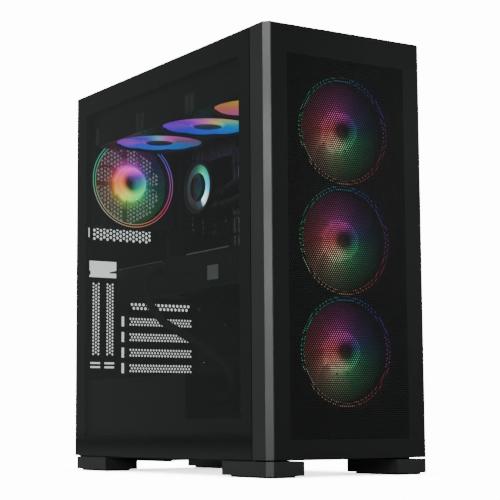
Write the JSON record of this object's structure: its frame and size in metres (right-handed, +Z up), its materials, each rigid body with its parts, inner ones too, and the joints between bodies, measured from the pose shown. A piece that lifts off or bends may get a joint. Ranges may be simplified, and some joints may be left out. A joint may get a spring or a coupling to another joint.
{
  "type": "desktop computer tower",
  "caption": "Mid-tower desktop computer with a perforated front, a glass side window, lit fans, a liquid cooler, a graphics card and a power supply.",
  "frame": {"origin": "middle of the footprint, on the surface that the feet stand on", "axes": "+Z up, the front face looks along -Y, the glass side along -X and the steel side along +X"},
  "size_m": [0.21, 0.45, 0.48],
  "materials": {
    "black_steel": "satin powder coat",
    "panel_steel": "fine textured powder coat",
    "mesh_steel": "fine perforated steel, satin black",
    "black_plastic": "moulded, fine grain",
    "bezel_plastic": "satin",
    "fan_frame_plastic": "satin",
    "fan_rotor_plastic": "translucent, lit from the hub",
    "card_rotor_plastic": "satin",
    "rubber": "matt",
    "side_glass": "tempered, tinted",
    "board_laminate": "solder mask",
    "sink_aluminium": "black anodised, brushed",
    "fin_aluminium": "plain",
    "radiator_black": "painted fins",
    "hose": "sleeved",
    "plated_steel": "nickel plate",
    "dust_mesh": "fine nylon mesh",
    "screw_black": "black zinc",
    "pump_face": "polished, lit edge",
    "cable_sleeve": "black wires",
    "card_plastic": "satin",
    "red_plastic": "moulded"
  },
  "bodies": {
    "chassis": {"base_pan": "black_steel", "top_plate": "black_steel", "front_plate": "black_steel", "left_frame": "black_steel", "motherboard_tray": "black_steel", "cable_grommets": "rubber", "psu_shroud": "black_steel", "rear_panel": "panel_steel", "slot_covers": "panel_steel", "vertical_slot_covers": "panel_steel", "feet": "bezel_plastic", "foot_pads": "rubber", "front_fan_frames": "fan_frame_plastic", "radiator_fan_frames": "fan_frame_plastic", "rear_fan_frame": "fan_frame_plastic", "radiator": "radiator_black", "pump_block": "black_plastic", "pump_cap": "pump_face", "coolant_tubes": "hose", "motherboard": "board_laminate", "board_heatsinks": "sink_aluminium", "board_slots": "black_plastic", "memory_modules": "sink_aluminium", "rear_ports": "plated_steel", "io_shield": "panel_steel", "gpu_board": "board_laminate", "gpu_backplate": "sink_aluminium", "gpu_shroud": "card_plastic", "gpu_heatsink": "fin_aluminium", "gpu_bracket": "panel_steel", "psu_case": "panel_steel", "psu_inlet": "black_plastic", "drive_cage": "black_steel", "drive_trays": "black_plastic", "top_cover": "bezel_plastic", "front_usb_ports": "plated_steel", "case_screws": "screw_black", "gpu_power_cable": "cable_sleeve", "board_power_cable": "cable_sleeve"},
    "front_cover": {"front_bezel": "bezel_plastic", "front_mesh": "mesh_steel"},
    "glass_door": {"glass_panel": "side_glass"},
    "steel_door": {"right_side_panel": "panel_steel", "panel_thumbscrews": "screw_black"},
    "roof_filter": {"top_dust_filter": "dust_mesh"},
    "supply_filter": {"psu_dust_filter": "dust_mesh"},
    "power_key": {"power_button": "black_plastic"},
    "reset_key": {"reset_button": "black_plastic"},
    "supply_switch": {"psu_rocker": "red_plastic"},
    "supply_rotor": {"psu_fan_rotor": "card_rotor_plastic"},
    "rear_rotor": {"rear_fan_rotor": "fan_rotor_plastic"},
    "front_rotor_1": {"front_fan_rotor_1": "fan_rotor_plastic"},
    "radiator_rotor_1": {"radiator_fan_rotor_1": "fan_rotor_plastic"},
    "card_rotor_1": {"gpu_fan_rotor_1": "card_rotor_plastic"},
    "front_rotor_2": {"front_fan_rotor_2": "fan_rotor_plastic"},
    "radiator_rotor_2": {"radiator_fan_rotor_2": "fan_rotor_plastic"},
    "card_rotor_2": {"gpu_fan_rotor_2": "card_rotor_plastic"},
    "front_rotor_3": {"front_fan_rotor_3": "fan_rotor_plastic"},
    "radiator_rotor_3": {"radiator_fan_rotor_3": "fan_rotor_plastic"},
    "card_rotor_3": {"gpu_fan_rotor_3": "card_rotor_plastic"}
  },
  "joints": [
    {"name": "front_cover_pull", "type": "slide", "parent": "chassis", "child": "front_cover", "axis": [0, -1, 0], "range_m": [0, 0.08]},
    {"name": "glass_pull", "type": "slide", "parent": "chassis", "child": "glass_door", "axis": [-1, 0, 0], "range_m": [0, 0.1]},
    {"name": "steel_door_slide", "type": "slide", "parent": "chassis", "child": "steel_door", "axis": [0, 1, 0], "range_m": [0, 0.42]},
    {"name": "roof_filter_lift", "type": "slide", "parent": "chassis", "child": "roof_filter", "axis": [0, 0, 1], "range_m": [0, 0.06]},
    {"name": "supply_filter_slide", "type": "slide", "parent": "chassis", "child": "supply_filter", "axis": [0, 1, 0], "range_m": [0, 0.15]},
    {"name": "power_press", "type": "slide", "parent": "chassis", "child": "power_key", "axis": [0, 0, -1], "range_m": [0, 0.0015], "stiffness_N_per_m": 900},
    {"name": "reset_press", "type": "slide", "parent": "chassis", "child": "reset_key", "axis": [0, 0, -1], "range_m": [0, 0.0015], "stiffness_N_per_m": 600},
    {"name": "supply_switch_rock", "type": "hinge", "parent": "chassis", "child": "supply_switch", "pos_m": [0.046, 0.2158, 0.0665], "axis": [1, 0, 0], "range_deg": [0, 12]},
    {"name": "front_fan_spin_1", "type": "hinge", "parent": "chassis", "child": "front_rotor_1", "pos_m": [0, -0.218, 0.1324], "axis": [0, -1, 0], "continuous": true},
    {"name": "front_fan_spin_2", "type": "hinge", "parent": "chassis", "child": "front_rotor_2", "pos_m": [0, -0.218, 0.2524], "axis": [0, -1, 0], "continuous": true},
    {"name": "front_fan_spin_3", "type": "hinge", "parent": "chassis", "child": "front_rotor_3", "pos_m": [0, -0.218, 0.3724], "axis": [0, -1, 0], "continuous": true},
    {"name": "radiator_fan_spin_1", "type": "hinge", "parent": "chassis", "child": "radiator_rotor_1", "pos_m": [-0.038, 0.126, 0.411], "axis": [0, 0, -1], "continuous": true},
    {"name": "radiator_fan_spin_2", "type": "hinge", "parent": "chassis", "child": "radiator_rotor_2", "pos_m": [-0.038, 0.006, 0.411], "axis": [0, 0, -1], "continuous": true},
    {"name": "radiator_fan_spin_3", "type": "hinge", "parent": "chassis", "child": "radiator_rotor_3", "pos_m": [-0.038, -0.114, 0.411], "axis": [0, 0, -1], "continuous": true},
    {"name": "rear_fan_spin", "type": "hinge", "parent": "chassis", "child": "rear_rotor", "pos_m": [-0.038, 0.195, 0.3714], "axis": [0, -1, 0], "continuous": true},
    {"name": "gpu_fan_spin_1", "type": "hinge", "parent": "chassis", "child": "card_rotor_1", "pos_m": [-0.0063, 0.136, 0.2144], "axis": [0, 0, -1], "continuous": true},
    {"name": "gpu_fan_spin_2", "type": "hinge", "parent": "chassis", "child": "card_rotor_2", "pos_m": [-0.0063, 0.043, 0.2144], "axis": [0, 0, -1], "continuous": true},
    {"name": "gpu_fan_spin_3", "type": "hinge", "parent": "chassis", "child": "card_rotor_3", "pos_m": [-0.0063, -0.05, 0.2144], "axis": [0, 0, -1], "continuous": true},
    {"name": "psu_fan_spin", "type": "hinge", "parent": "chassis", "child": "supply_rotor", "pos_m": [0, 0.1448, 0.0215], "axis": [0, 0, -1], "continuous": true}
  ]
}
